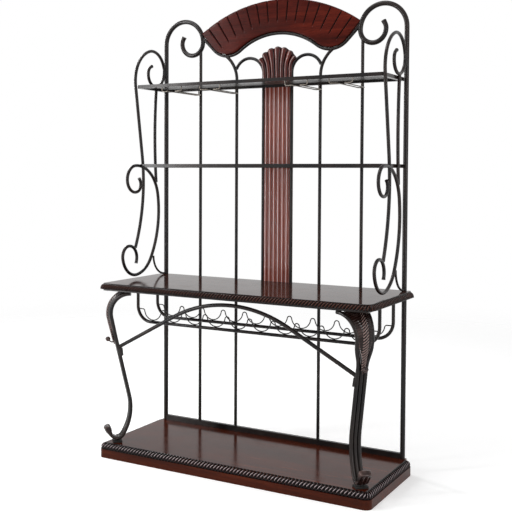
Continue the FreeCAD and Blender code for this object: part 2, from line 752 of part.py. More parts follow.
mid_wire, _, _ = path(leg_plane, LEG_START, 0.0, LEG_SEGS)
leg_mid = rod(mid_wire, LEG_R)
pair("leg_tube_middle", leg_mid)
whole = leg_length(leg_pieces)
outer_tubes = [outer_tube(-1, FRONT_FAN), outer_tube(1, BACK_FAN)]
pair("leg_tube_front", outer_tubes[0])
pair("leg_tube_back", outer_tubes[1])
leg_all = Part.makeCompound([leg_mid] + outer_tubes)

# leaf casting laid over the knee of the tubes
LEAF_THICK = 7.0
LEAF_HALF = 25.0
LEAF_TOP = 45.0          # turn of the knee where the leaf begins
LEAF_RUN = 126.0         # length below the knee
knee = (LEG_START[0], LEG_START[1] - KNEE_R)


def over_knee(gap, degrees):
    turn = math.radians(degrees)
    reach = KNEE_R + LEG_R + gap
    return (knee[0] + reach * math.sin(turn), knee[1] + reach * math.cos(turn))


def below_knee(gap):
    u, z = over_knee(gap, KNEE_TURN)
    turn = math.radians(-KNEE_TURN)
    return (u + LEAF_RUN * math.cos(turn), z + LEAF_RUN * math.sin(turn))


edges = []
for gap in (0.0, LEAF_THICK):
    spots = [leg_plane(*over_knee(gap, LEAF_TOP + k * (KNEE_TURN - LEAF_TOP) / 2)) for k in range(3)]
    edges.append(Part.Arc(*spots).toShape())
    edges.append(Part.makeLine(spots[2], leg_plane(*below_knee(gap))))
edges.append(Part.makeLine(leg_plane(*over_knee(0.0, LEAF_TOP)), leg_plane(*over_knee(LEAF_THICK, LEAF_TOP))))
edges.append(Part.makeLine(leg_plane(*below_knee(0.0)), leg_plane(*below_knee(LEAF_THICK))))
strap = Part.Face(Part.Wire(Part.__sortEdges__(edges)))
strap.translate(across * -40.0)
strap = strap.extrude(across * 80.0)
leaf_top = over_knee(LEAF_THICK, LEAF_TOP)[1] + 2.0
leaf_low = below_knee(0.0)[1] - 8.0
tips = [leg_plane(450.0, leaf_top), leg_plane(450.0, leaf_low)]
belly = leg_plane(450.0, (leaf_top + leaf_low) / 2)
lens = Part.Wire(
    [
        Part.Arc(tips[0], belly + across * LEAF_HALF, tips[1]).toShape(),
        Part.Arc(tips[1], belly - across * LEAF_HALF, tips[0]).toShape(),
    ]
)
leaf = biggest(strap.common(Part.Face(lens).extrude(outward * 300.0)))

# its tip turns out into a short stem with a ball
BALL_U = 645.0
BALL_Z = 548.0
BALL_R = 11.5
STEM_R = 3.2
(tip_u, tip_z), tip_way = station(leg_pieces, KNEE_R * math.radians(KNEE_TURN) + LEAF_RUN - 12.0)
tip_out = outward * -math.sin(tip_way) + V(0, 0, math.cos(tip_way))
tip = leg_plane(tip_u, tip_z) + tip_out * (LEG_R + STEM_R + 0.4)
ball_at = leg_plane(BALL_U, BALL_Z)
stem = Part.makeCylinder(STEM_R, (ball_at - tip).Length, tip, ball_at - tip)
ball = Part.makeSphere(BALL_R, ball_at, ball_at - tip)
leaf = leaf.fuse([stem, ball])
pair("leg_leaf", biggest(leaf))

# toe casting and floor pad
toe_pieces, toe_end, _ = walk(leg_end, leg_heading, TOE_SEGS)
toe_length = leg_length(toe_pieces)
toe_rings = []
for t, wide, thick in (
    (0.0, 25.0, 8.0),
    (0.25, 23.0, 7.0),
    (0.5, 23.0, 5.5),
    (0.75, 26.0, 5.5),
    (0.92, 29.0, 7.0),
    (1.0, 28.0, 6.0),
):
    (u, z), h = station(toe_pieces, toe_length * t)
    normal = outward * (-math.sin(h)) + V(0, 0, math.cos(h))
    toe_rings.append(ellipse_wire(leg_plane(u, z), across, normal, wide, thick))
toe = Part.makeLoft(toe_rings, True, False)
pair("leg_toe", toe)

leg_low = leg_mid.BoundBox.ZMin
pad_spot = min((station(leg_pieces, whole * k / 200.0)[0] for k in range(150, 201)), key=lambda p: p[1])
pad = Part.makeBox(40.0, 54.0, leg_low - BASE_TOP, V(-20.0, -27.0, 0))
pad.rotate(V(0, 0, 0), V(0, 0, 1), -45.0)
pad.translate(leg_plane(pad_spot[0], BASE_TOP))
save("leg_pads", Part.makeCompound([pad, mirrored(pad)]))

# ---- brace between the legs ------------------------------------------------
rise = BRACE_ARC * (1 - math.cos(math.radians(BRACE_ANGLE)))
arc_half = BRACE_ARC * math.sin(math.radians(BRACE_ANGLE))
run = (BRACE_HALF - arc_half) / math.cos(math.radians(BRACE_ANGLE))
brace_low = BRACE_TOP - rise - run * math.sin(math.radians(BRACE_ANGLE))
brace_wire, _, _ = path(
    lambda a, b: V(a, BRACE_Y, b),
    (-BRACE_HALF, brace_low),
    BRACE_ANGLE,
    ((0, run), (BRACE_ARC, -2 * BRACE_ANGLE), (0, run)),
)
legs_both = Part.makeCompound([leg_all, mirrored(leg_all)])
brace = biggest(rod(brace_wire, BRACE_R).cut(legs_both))
saddle = Part.makeBox(SADDLE[0], SADDLE[1], SADDLE[2], V(0, -SADDLE[1] / 2, 0))
saddle.rotate(V(0, 0, 0), V(0, 1, 0), 8.5)
saddle.translate(V(BRACE_HALF - 24.0, BRACE_Y, brace_low - SADDLE[2]))
saddle = biggest(saddle.cut(leg_all))
save("front_brace", brace.fuse(saddle).fuse(mirrored(saddle)))

# ---- wine rack under the shelf ---------------------------------------------
FLANGE = 3.0
drop_len = SHELF_BOTTOM - FLANGE - RACK_Z - RACK_BEND
flat_len = 2 * (RACK_HALF - RACK_BEND)
lean = math.degrees(
    math.asin(CRADLE_PITCH / 2 / ((CRADLE_PITCH ** 2 / 4 + (WAVE_PEAK - RACK_Z - ROD_R - WIRE_R) ** 2)
                                  / (2 * (WAVE_PEAK - RACK_Z - ROD_R - WIRE_R))))
)
crown_r = CRADLE_PITCH / 2 / math.sin(math.radians(lean)) - CRADLE_R
side_run = RACK_HALF - ROD_R - CRADLES * CRADLE_PITCH / 2
flanges = []
for label, y in (("front", RACK_FRONT), ("rear", RACK_REAR)):
    wire, _, _ = path(
        lambda a, b, y=y: V(a, y, b),
        (-RACK_HALF, SHELF_BOTTOM - FLANGE),
        -90.0,
        ((0, drop_len), (RACK_BEND, 90.0), (0, flat_len), (RACK_BEND, 90.0), (0, drop_len)),
    )
    rack_bar = rod(wire, ROD_R)
    save("rack_bar_" + label, rack_bar)
    segs = [(0, side_run), (crown_r, -lean)]
    for k in range(CRADLES):
        segs.append((CRADLE_R, 2 * lean))
        segs.append((crown_r, -2 * lean if k < CRADLES - 1 else -lean))
    segs.append((0, side_run))
    wave_wire, _, _ = path(
        lambda a, b, y=y: V(a, y, b), (-RACK_HALF + ROD_R, WAVE_PEAK), 0.0, segs
    )
    wave = biggest(rod(wave_wire, WIRE_R).cut(rack_bar))
    save("rack_wave_" + label, wave)
    for s in (-1, 1):
        flanges.append(Part.makeCylinder(13.0, FLANGE, V(s * RACK_HALF, y, SHELF_BOTTOM - FLANGE)))
save("rack_flanges", Part.makeCompound(flanges))
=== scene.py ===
"""Looks of the bakers rack: black wrought iron with mahogany base, counter, crest, reeded panel
and shell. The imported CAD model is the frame. Carved and cast pieces are modelled here, and every
other node keeps its CAD mesh and gets its finish.
All sizes in metres, +X right, -Y front, +Z up."""

import math

import bmesh
import bpy
from mathutils import Matrix, Vector

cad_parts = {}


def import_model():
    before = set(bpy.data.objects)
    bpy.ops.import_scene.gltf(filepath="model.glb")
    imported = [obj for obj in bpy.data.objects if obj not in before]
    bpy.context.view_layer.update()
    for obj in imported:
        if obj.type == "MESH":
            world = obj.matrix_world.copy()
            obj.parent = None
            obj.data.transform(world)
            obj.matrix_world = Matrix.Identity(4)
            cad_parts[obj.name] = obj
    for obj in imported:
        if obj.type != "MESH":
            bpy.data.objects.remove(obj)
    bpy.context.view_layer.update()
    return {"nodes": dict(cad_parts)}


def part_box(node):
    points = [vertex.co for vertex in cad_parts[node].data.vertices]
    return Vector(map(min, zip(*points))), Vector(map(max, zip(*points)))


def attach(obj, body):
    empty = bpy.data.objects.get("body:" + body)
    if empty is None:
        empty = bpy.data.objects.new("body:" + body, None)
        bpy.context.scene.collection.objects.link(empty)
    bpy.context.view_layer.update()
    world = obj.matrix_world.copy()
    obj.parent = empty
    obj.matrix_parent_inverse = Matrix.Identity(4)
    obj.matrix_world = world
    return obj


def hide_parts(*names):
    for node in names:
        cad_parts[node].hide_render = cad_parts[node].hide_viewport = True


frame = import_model()
NODES = frame["nodes"]

BACK = 0.240                 # plane of the back posts
UP = Vector((0, 0, 1))


# ---------------------------------------------------------------- materials
MATERIALS = {}
WHITE = (1, 1, 1)


class Finish:
    """A node material that is put together step by step and kept in MATERIALS."""

    def __init__(self, name):
        self.name = name
        self.material = bpy.data.materials.new(name)
        self.material.use_nodes = True
        self.tree = self.material.node_tree
        self.shader = self.tree.nodes["Principled BSDF"]
        self.place = self.add("ShaderNodeTexCoord").outputs["Object"]

    def add(self, kind, **values):
        node = self.tree.nodes.new(kind)
        for key, value in values.items():
            setattr(node, key, value)
        return node

    def link(self, source, target):
        self.tree.links.new(source, target)

    def constants(self, **values):
        """Numbers that are the same all over, on the shader's own sockets."""
        for key, value in values.items():
            self.shader.inputs[key.replace("_", " ")].default_value = value

    def noise(self, scale, detail=4.0, stretch=(1, 1, 1), rough=0.55):
        mapping = self.add("ShaderNodeMapping")
        mapping.inputs["Scale"].default_value = stretch
        self.link(self.place, mapping.inputs["Vector"])
        noise = self.add("ShaderNodeTexNoise")
        noise.inputs["Scale"].default_value = scale
        noise.inputs["Detail"].default_value = detail
        noise.inputs["Roughness"].default_value = rough
        self.link(mapping.outputs["Vector"], noise.inputs["Vector"])
        return noise.outputs["Fac"]

    def ramp(self, source, *stops):
        """Colours along a factor, as (position, colour) pairs."""
        ramp = self.add("ShaderNodeValToRGB")
        elements = ramp.color_ramp.elements
        while len(elements) < len(stops):
            elements.new(0.5)
        for element, (at, colour) in zip(elements, stops):
            element.position = at
            element.color = (*colour, 1.0)
        self.link(source, ramp.inputs["Fac"])
        return ramp.outputs["Color"]

    def span(self, source, low, high, new_low, new_high):
        """A factor taken from one range to another."""
        node = self.add("ShaderNodeMapRange")
        ranges = (("From Min", low), ("From Max", high), ("To Min", new_low), ("To Max", new_high))
        for key, value in ranges:
            node.inputs[key].default_value = value
        self.link(source, node.inputs["Value"])
        return node.outputs["Result"]

    def mix(self, factor, first, second, blend="MIX"):
        node = self.add("ShaderNodeMix", data_type="RGBA", blend_type=blend)
        colours = [s for s in node.inputs if s.type == "RGBA"]
        if isinstance(factor, float):
            node.inputs["Factor"].default_value = factor
        else:
            self.link(factor, node.inputs["Factor"])
        for value, socket in zip((first, second), colours):
            if isinstance(value, tuple):
                socket.default_value = (*value, 1.0)
            else:
                self.link(value, socket)
        return [s for s in node.outputs if s.type == "RGBA"][0]

    def edges(self, low, high):
        """0 in hollows and 1 on outer edges of the mesh."""
        pointed = self.add("ShaderNodeNewGeometry").outputs["Pointiness"]
        return self.span(pointed, low, high, 0.0, 1.0)

    def tone(self, low, high, new_low, new_high):
        """The carving tone of the modelled pieces: -1 in hollows, 0 where plain, 1 on ridges. It
        places painted shade in hollows and painted highlights, partly rubbed wear, on ridges.
        """
        source = self.add("ShaderNodeAttribute", attribute_name="tone").outputs["Fac"]
        return self.span(source, low, high, new_low, new_high)

    def bump(self, height, depth, strength, under=None):
        node = self.add("ShaderNodeBump")
        node.inputs["Strength"].default_value = strength
        node.inputs["Distance"].default_value = depth
        self.link(height, node.inputs["Height"])
        if under is not None:
            self.link(under, node.inputs["Normal"])
        return node.outputs["Normal"]

    def finish(self, colour, rough, normal):
        self.link(colour, self.shader.inputs["Base Color"])
        self.link(rough, self.shader.inputs["Roughness"])
        self.link(normal, self.shader.inputs["Normal"])
        MATERIALS[self.name] = self.material


ALONG = {"x": (0.06, 1, 1), "z": (1, 1, 0.06)}     # the grain is drawn out along this axis
HOLLOW = (-0.9, -0.1)        # tones that get painted shade, from most to least


def wood(name, deep, mid, light, grain, gloss, specular, hollow_shade=0.5, ridge=None):
    """Lacquered mahogany with its grain along one axis, dark in the carving from painted shade,
    with edges rubbed lighter and, given a ridge colour, painted highlights on carved ridges that
    are partly rubbed wear.
    """
    f = Finish(name)
    stretch = ALONG[grain]
    bands = f.noise(26.0, 6.0, stretch, 0.6)
    pores = f.noise(420.0, 3.0, stretch, 0.7)
    clouds = f.noise(2.6, 3.0)
    figure = f.ramp(bands, (0.30, deep), (0.52, mid), (0.72, light))
    pore_dark = f.ramp(pores, (0.36, (0.45, 0.40, 0.38)), (0.52, WHITE))
    colour = f.mix(0.8, figure, pore_dark, "MULTIPLY")
    shade = f.ramp(clouds, (0.35, (0.72, 0.70, 0.70)), (0.65, (1.12, 1.08, 1.05)))
    colour = f.mix(1.0, colour, shade, "MULTIPLY")
    # painted shade in the hollows of the mesh
    dark = (hollow_shade, hollow_shade * 0.85, hollow_shade * 0.8)
    hollow = f.ramp(f.edges(0.44, 0.50), (0.0, dark), (1.0, WHITE))
    colour = f.mix(1.0, colour, hollow, "MULTIPLY")
    wear_and_painted_light = f.mix(f.span(f.edges(0.52, 0.60), 0.0, 1.0, 0.0, 0.35), colour, light)
    # painted shade in carved hollows, and a painted highlight on carved ridges that is partly
    # rubbed wear
    if ridge:
        wear_and_painted_light = f.mix(f.tone(*HOLLOW, 0.92, 0.0), wear_and_painted_light, tuple(c * 0.1 for c in deep))
        wear_and_painted_light = f.mix(f.tone(0.35, 1.0, 0.0, 0.75), wear_and_painted_light, ridge)
    rough = f.span(f.noise(14.0, 5.0), 0.3, 0.7, *gloss)
    f.constants(Specular_IOR_Level=specular)
    normal = f.bump(pores, 0.0001, 0.07, f.bump(clouds, 0.002, 0.02))
    f.finish(wear_and_painted_light, rough, normal)


def iron(name, deep, brown, edge, rough, hammer, specular=0.25, metallic=0.0, wear_and_painted_light=0.0):
    """Black baked enamel over forged bar: faint hammer marks, brown cast, rubbed edges. On cast
    pieces the lighter edges and carved ridges are partly painted highlights, and carved hollows get
    painted shade.
    """
    f = Finish(name)
    patches = f.noise(7.0, 3.0, rough=0.5)
    grain = f.noise(900.0, 3.0, rough=0.6)
    dents = f.noise(55.0, 2.0)
    colour = f.ramp(patches, (0.34, deep), (0.62, brown))
    speck = f.ramp(grain, (0.3, (0.5, 0.5, 0.5)), (0.7, (1.5, 1.45, 1.4)))
    colour = f.mix(0.12, colour, speck, "MULTIPLY")
    thin = f.span(f.noise(11.0, 3.0, rough=0.5), 0.55, 0.75, 0.0, 0.30)
    colour = f.mix(thin, colour, edge)
    # lighter edges and ridges: rubbed wear and painted highlight; darker carved hollows: painted
    # shade
    if wear_and_painted_light:
        colour = f.mix(f.span(f.edges(0.53, 0.60), 0.0, 1.0, 0.0, wear_and_painted_light), colour, edge)
        colour = f.mix(f.tone(*HOLLOW, 0.9, 0.0), colour, tuple(c * 0.3 for c in deep))
        colour = f.mix(f.tone(0.3, 1.0, 0.0, wear_and_painted_light), colour, edge)
    roughness = f.span(f.noise(16.0, 3.0), 0.3, 0.7, *rough)
    f.constants(Metallic=metallic, Specular_IOR_Level=specular)
    normal = f.bump(grain, 0.00005, 0.03, f.bump(dents, 0.0010, hammer))
    f.finish(colour, roughness, normal)


def rubber(name):
    f = Finish(name)
    grain = f.noise(300.0, 3.0)
    colour = f.ramp(f.noise(40.0), (0.3, (0.010, 0.010, 0.010)), (0.7, (0.022, 0.021, 0.020)))
    f.constants(Specular_IOR_Level=0.25)
    f.finish(colour, f.span(grain, 0.3, 0.7, 0.6, 0.8), f.bump(grain, 0.0002, 0.3))


iron(
    "iron", (0.0060, 0.0057, 0.0066), (0.0180, 0.0120, 0.0105), (0.0510, 0.0360, 0.0300),
    rough=(0.17, 0.25), hammer=0.003, specular=0.22,
)
# edge colour: rubbed wear, and a painted highlight on edges and carved ridges
iron(
    "cast_iron", (0.0045, 0.0036, 0.0039), (0.0240, 0.0099, 0.0078), (0.4500, 0.3000, 0.2700),
    rough=(0.14, 0.22), hammer=0.06, specular=0.24, wear_and_painted_light=0.8,
)
iron(
    "shelf_sheet", (0.012, 0.011, 0.010), (0.022, 0.018, 0.015), (0.06, 0.05, 0.04),
    rough=(0.30, 0.44), hammer=0.06,
)
iron(
    "wire", (0.10, 0.092, 0.082), (0.20, 0.175, 0.15), (0.40, 0.37, 0.33),
    rough=(0.22, 0.34), hammer=0.05, metallic=0.85,
)
iron(
    "screw", (0.10, 0.095, 0.09), (0.20, 0.18, 0.15), (0.35, 0.33, 0.30),
    rough=(0.25, 0.4), hammer=0.1, metallic=0.9,
)
# ridge colours below are painted highlights on carved ridges, partly rubbed wear
wood(
    "base_wood", (0.0192, 0.0030, 0.0012), (0.0518, 0.0080, 0.0027), (0.1066, 0.0207, 0.0065),
    grain="x", gloss=(0.12, 0.22), specular=0.09,
)
wood(
    "counter_wood", (0.0096, 0.0032, 0.0024), (0.0240, 0.0067, 0.0043), (0.0544, 0.0152, 0.0083),
    grain="x", gloss=(0.08, 0.16), specular=0.04,
)
wood(
    "crest_wood", (0.0340, 0.0039, 0.0023), (0.0842, 0.0091, 0.0049), (0.1539, 0.0194, 0.0091),
    grain="x", gloss=(0.16, 0.26), specular=0.07, hollow_shade=0.10, ridge=(0.400, 0.210, 0.170),
)
wood(
    "panel_wood", (0.1400, 0.0180, 0.0100), (0.3000, 0.0460, 0.0250), (0.4500, 0.1000, 0.0570),
    grain="z", gloss=(0.10, 0.16), specular=0.55, hollow_shade=0.16, ridge=(0.840, 0.680, 0.680),
)
wood(
    "shell_wood", (0.0300, 0.0030, 0.0019), (0.1150, 0.0100, 0.0055), (0.2200, 0.0260, 0.0140),
    grain="z", gloss=(0.10, 0.18), specular=0.30, hollow_shade=0.10, ridge=(0.520, 0.330, 0.300),
)
wood(
    "base_rope_wood", (0.0056, 0.0022, 0.0025), (0.0168, 0.0053, 0.0048), (0.0700, 0.0210, 0.0133),
    grain="x", gloss=(0.10, 0.16), specular=0.12, hollow_shade=0.12, ridge=(0.640, 0.530, 0.550),
)
wood(
    "counter_rope_wood",
    (0.0075, 0.0027, 0.0019), (0.0225, 0.0069, 0.0045), (0.0690, 0.0210, 0.0117),
    grain="x", gloss=(0.18, 0.28), specular=0.10, hollow_shade=0.12, ridge=(0.115, 0.050, 0.038),
)
rubber("pad")


# ---------------------------------------------------------------- mesh tools
CRISP = math.radians(58)     # edges steeper than this stay sharp


def piece(name, parts, material, slot, *replaced):
    """One object from several (points, faces) parts, on the rack's only body."""
    mesh = bpy.data.meshes.new(name)
    made = bmesh.new()
    tone = made.verts.layers.float.new("tone")
    for points, faces, *tones in parts:
        corners = [made.verts.new(p) for p in points]
        for corner, value in zip(corners, tones[0] if tones else ()):
            corner[tone] = value
        for face in faces:
            made.faces.new([corners[i] for i in face])
    bmesh.ops.recalc_face_normals(made, faces=made.faces)
    for edge in made.edges:
        edge.smooth = edge.calc_face_angle(0.0) < CRISP
    made.to_mesh(mesh)
    made.free()
    for polygon in mesh.polygons:
        polygon.use_smooth = len(polygon.vertices) < 5
    mesh.materials.append(MATERIALS[material])
    obj = bpy.data.objects.new(name, mesh)
    bpy.context.scene.collection.objects.link(obj)
    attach(obj, "root")
    if replaced:
        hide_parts(*replaced)


def loft(rings):
    """Quads from ring to ring, and a flat face over each end."""
    count = len(rings[0])
    points = [p for ring in rings for p in ring]
    faces = []
    for i in range(len(rings) - 1):
        for j in range(count):
            k = (j + 1) % count
            faces.append((i * count + j, i * count + k, (i + 1) * count + k, (i + 1) * count + j))
    faces.append(tuple(range(count)))
    faces.append(tuple((len(rings) - 1) * count + j for j in range(count)))
    return points, faces


def mirrored(part):
    points, *rest = part
    return [Vector((-p.x, p.y, p.z)) for p in points], *rest


def smoothstep(t):
    t = min(1.0, max(0.0, t))
    return t * t * (3 - 2 * t)


# ---------------------------------------------------------------- carved rope mouldings
ROPE_STEP = 0.0014           # between the stations along the edge
ROPE_SPOTS = 16              # along the curve of the section
ROPE_LEAN = 0.90             # pitches by which a strand runs on between foot and top
ROPE_BAND = (0.05, 0.98)     # the carved share of the section, which fades out over ROPE_FADE
ROPE_FADE = 0.07
ROPE_LIT = 0.32              # how far from its middle a strand carries a painted highlight, partly rubbed wear
FILLET_CUT = 0.55            # depth of the fillets as a share of the carving
FILLET_TOP = 0.99            # the section's edge above this stays uncut
WOOD_BACK = BACK + 0.012     # back edge of the base and the counter


def edge_line(half, front, corner, back_corner, side):
    """Stations (point, outward way) along the outer edge: the front, or the right-hand end."""
    spots = []

    def turn(cx, cy, radius, start, stop):
        count = max(2, round(radius * abs(stop - start) / ROPE_STEP))
        for i in range(count + 1):
            t = start + (stop - start) * i / count
            way = Vector((math.cos(t), math.sin(t), 0))
            spots.append((Vector((cx, cy, 0)) + way * radius, way))

    def straight(a, b, way):
        count = max(2, round((b - a).length / ROPE_STEP))
        spots.extend((a.lerp(b, i / count), way) for i in range(1, count))

    quarter = math.pi / 2
    if side:
        turn(half - corner, front + corner, corner, -quarter / 2, 0.0)
        a = Vector((half, front + corner, 0))
        b = Vector((half, WOOD_BACK - back_corner, 0))
        straight(a, b, Vector((1, 0, 0)))
        turn(half - back_corner, WOOD_BACK - back_corner, back_corner, 0.0, quarter)
    else:
        turn(-half + corner, front + corner, corner, -1.5 * quarter, -quarter)
        a = Vector((-half + corner, front, 0))
        b = Vector((half - corner, front, 0))
        straight(a, b, Vector((0, -1, 0)))
        turn(half - corner, front + corner, corner, -quarter, -quarter / 2)
    return spots


def bezier(a, b, c, t):
    return tuple(p * (1 - t) ** 2 + q * 2 * t * (1 - t) + r * t * t for p, q, r in zip(a, b, c))


def rope_section(z0, z1, foot, bulge, top_in):
    """Outer line of the moulding from its foot to its top, as (depth, height, normal)."""
    curve = ((0.0, z0 + foot), (bulge[0], z0 + bulge[1]), (top_in, z1))
    spots = [(0.0, z0)]
    spots += [bezier(*curve, i / (ROPE_SPOTS - 1)) for i in range(ROPE_SPOTS)]
    line = []
    for i, (depth, height) in enumerate(spots):
        a = spots[max(0, i - 1)]
        b = spots[min(len(spots) - 1, i + 1)]
        dx, dz = b[0] - a[0], b[1] - a[1]
        size = math.hypot(dx, dz)
        line.append((depth, height, (-dz / size, dx / size)))
    return line


def rope_moulding(spots, section, z0, z1, deep, pitch, carve, lip):
    """Moulding carved as a twisted rope between two thin fillets. The section up to the share
    `lip` stays uncut."""
    rings, tones = [], []
    run = 0.0
    before = spots[0][0]
    for spot, way in spots:
        run += (spot - before).length
        before = spot
        ring = []
        for j, (depth, height, (nd, nz)) in enumerate(section):
            t = j / (len(section) - 1)
            band = smoothstep((t - ROPE_BAND[0]) / ROPE_FADE)
            band *= smoothstep((ROPE_BAND[1] - t) / ROPE_FADE)
            lean = ROPE_LEAN * (t - 0.25 * math.sin(2 * math.pi * t) / math.pi)
            strand = abs(math.sin(math.pi * (run / pitch - lean)))
            belly = 1.0 - (2 * t - 1) ** 2
            cut = carve * band * (1.0 - strand ** 0.8 * (0.75 + 0.25 * belly))
            # painted highlight on each strand, partly rubbed wear, and painted shade between the
            # strands; the fillets are darkened
            shade = max(-1.0, min(1.0, 5.0 * strand - 4.0))
            if shade > 0.0:
                shade *= math.exp(-((t - 0.50) / ROPE_LIT) ** 2)
            tones.append(band * shade - (1.0 - band))
            cut += carve * FILLET_CUT * (1.0 - band) * (lip < t < FILLET_TOP)
            ring.append(spot - way * (depth - nd * cut) + UP * (height - nz * cut))
        ring.append(spot - way * deep + UP * z1)
        ring.append(spot - way * deep + UP * z0)
        tones += [0.0, 0.0]
        rings.append(ring)
    return *loft(rings), tones


ROPES = (
    # label, corner, back corner, (foot, bulge, inset of the top), depth, pitch, carving, lip
    ("base", 0.030, 0.026, (0.005, (0.0005, 0.0225), 0.022), 0.024, 0.0165, 0.0060, -1.0),
    ("counter", 0.045, 0.024, (0.002, (0.0040, 0.0180), 0.018), 0.022, 0.0150, 0.0042, 0.0),
)


def mouldings():
    for label, corner, back_corner, curve, deep, pitch, carve, lip in ROPES:
        low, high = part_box(label + "_rope_front")
        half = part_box(label + "_rope_right")[1].x
        section = rope_section(low.z, high.z, *curve)
        shape = (section, low.z, high.z, deep, pitch, carve, lip)
        front = rope_moulding(edge_line(half, low.y, corner, back_corner, False), *shape)
        side = rope_moulding(edge_line(half, low.y, corner, back_corner, True), *shape)
        for end, part in (("front", front), ("right", side), ("left", mirrored(side))):
            piece(
                f"{label}_carving_{end}", [part], label + "_rope_wood", label + "_wood",
                f"{label}_rope_{end}",
            )


# ---------------------------------------------------------------- crest
CREST_FOCUS = 1.545          # height of the point that the fan of grooves looks at
CREST_ARC = 0.732            # radius of the board's top
CREST_HALF_THICK = 0.009
CREST_TUBE = 0.007           # radius of the rail that the board stands on
CREST_MEAN_R = 0.58          # from the focus; turns an angle into a distance across a groove
CREST_STEPS = 40             # along each arc of the foot
CREST_ROWS = 20              # from the foot to the top, between the rounded edges
CREST_END = 0.004            # angle by which the board ends short of its foot line
CREST_SLOPE = math.radians(45)
LOBE = 0.115
SPAN = 0.333
SPAN_ANGLE = math.radians(37.07)
TIP = (0.413, 1.9774)
TIP_RUN = 0.0872
GROOVES = 15
GROOVE_STEP = math.radians(5.5)
GROOVE_LOW = 0.482
GROOVE_HALF = 0.0048
GROOVE_DEEP = 0.0034
EDGE_ROUND = 0.0055
EDGE_ROWS = [0.0, 0.0006, 0.0016, 0.0030, EDGE_ROUND]
EDGE_DARK = 0.009            # width of the darkened border
END_LINES, END_STEP = 14, 0.0020


def crest_foot():
    """(angle, radius) of the board's lower line about the focus, left to right."""
    shift = CREST_TUBE * math.sin(CREST_SLOPE)
    x, z = -TIP[0] + shift, TIP[1] + shift
    heading = -CREST_SLOPE
    line = [(x, z)]
    runs = (
        (LOBE - CREST_TUBE, CREST_SLOPE + SPAN_ANGLE),
        (SPAN + CREST_TUBE, -2 * SPAN_ANGLE),
        (LOBE - CREST_TUBE, CREST_SLOPE + SPAN_ANGLE),
    )
    x += TIP_RUN * math.cos(heading)
    z += TIP_RUN * math.sin(heading)
    line.append((x, z))
    for radius, sweep in runs:
        for _ in range(CREST_STEPS):
            step = radius * abs(sweep) / CREST_STEPS
            heading += sweep / CREST_STEPS / 2
            x += step * math.cos(heading)
            z += step * math.sin(heading)
            heading += sweep / CREST_STEPS / 2
            line.append((x, z))
    line.append((-line[0][0], line[0][1]))
    rays = [(px, pz - CREST_FOCUS) for px, pz in line]
    return [(math.atan2(*ray), math.hypot(*ray)) for ray in rays]


def crest_top(angle, height):
    """Radius of the board's top line about the focus."""
    centre = height - CREST_ARC - CREST_FOCUS
    reach = math.sqrt(CREST_ARC ** 2 - (centre * math.sin(angle)) ** 2)
    return centre * math.cos(angle) + reach


def between(line, angle):
    for (a0, r0), (a1, r1) in zip(line, line[1:]):
        if a0 <= angle <= a1:
            return r0 + (r1 - r0) * (angle - a0) / max(1e-9, a1 - a0)
    return line[0][1] if angle < line[0][0] else line[-1][1]


def crest_angles(limit):
    """Fan lines of the board: close together over every groove."""
    marks = {-limit, limit}
    for i in range(GROOVES):
        centre = (i - GROOVES // 2) * GROOVE_STEP
        for k in range(-6, 7):
            marks.add(centre + k / 5.0 * GROOVE_HALF / CREST_MEAN_R)
        marks.add(centre + GROOVE_STEP / 2)
        marks.add(centre - GROOVE_STEP / 2)
    for k in range(END_LINES):
        marks.add(-limit + k * END_STEP)
        marks.add(limit - k * END_STEP)
    inside = sorted(m for m in marks if abs(m) <= limit + 1e-9)
    kept = [inside[0]]
    for m in inside[1:]:
        if m - kept[-1] > 1e-5:
            kept.append(m)
    return kept


def round_over(distance):
    """How far the face falls back near an edge."""
    if distance >= EDGE_ROUND:
        return 0.0
    return EDGE_ROUND - math.sqrt(max(0.0, EDGE_ROUND ** 2 - (EDGE_ROUND - distance) ** 2))


def crest_part():
    """Board between its foot line and its arc, with a fan of grooves that a pale line follows. The
    grooves get painted shade, and the pale line is a painted highlight on the same lip of each
    groove.
    """
    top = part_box("crest_board")[1].z
    foot = crest_foot()
    limit = foot[-1][0] - CREST_END
    rings, tones = [], []
    for angle in crest_angles(limit):
        r0 = between(foot, angle)
        r1 = crest_top(angle, top)
        ray = Vector((math.sin(angle), 0, math.cos(angle)))
        nearest = round(angle / GROOVE_STEP) * GROOVE_STEP
        offset = (angle - nearest) * CREST_MEAN_R
        across = max(0.0, 1.0 - abs(offset) / GROOVE_HALF)
        if abs(nearest) > GROOVE_STEP * (GROOVES // 2 + 0.1):
            across = 0.0
        end_gap = (limit - abs(angle)) * CREST_MEAN_R
        below = [r0 + d for d in EDGE_ROWS]
        above = [r1 - d for d in reversed(EDGE_ROWS)]
        start, run = below[-1], above[0] - below[-1]
        inner = [start + run * k / CREST_ROWS for k in range(1, CREST_ROWS)]
        radii = below + inner + above
        front = []
        # painted highlight along one lip of each groove
        rim = max(0.0, 1.0 - abs(offset / GROOVE_HALF - 0.75) / 0.5)
        for r in radii:
            y = -CREST_HALF_THICK + round_over(min(r - r0, r1 - r, end_gap))
            reach = smoothstep((r - GROOVE_LOW) / 0.010)
            # painted shade in the grooves
            cut = (0.55 * rim if across < 0.25 else -1.0) * reach * smoothstep((r1 - r) / 0.02)
            edge = 0.5 * (1.0 - smoothstep(min(r - r0, r1 - r, end_gap) / EDGE_DARK))
            tones.append(cut - edge if edge < 0.4 else -edge)
            y += GROOVE_DEEP * across ** 0.8 * reach
            front.append(Vector((0, BACK + y, CREST_FOCUS)) + ray * r)
        back = []
        for r in reversed(radii):
            y = CREST_HALF_THICK - round_over(min(r - r0, r1 - r, end_gap)) * 0.6
            back.append(Vector((0, BACK + y, CREST_FOCUS)) + ray * r)
        rings.append(front + back)
        tones += [0.0] * len(back)
    return *loft(rings), tones


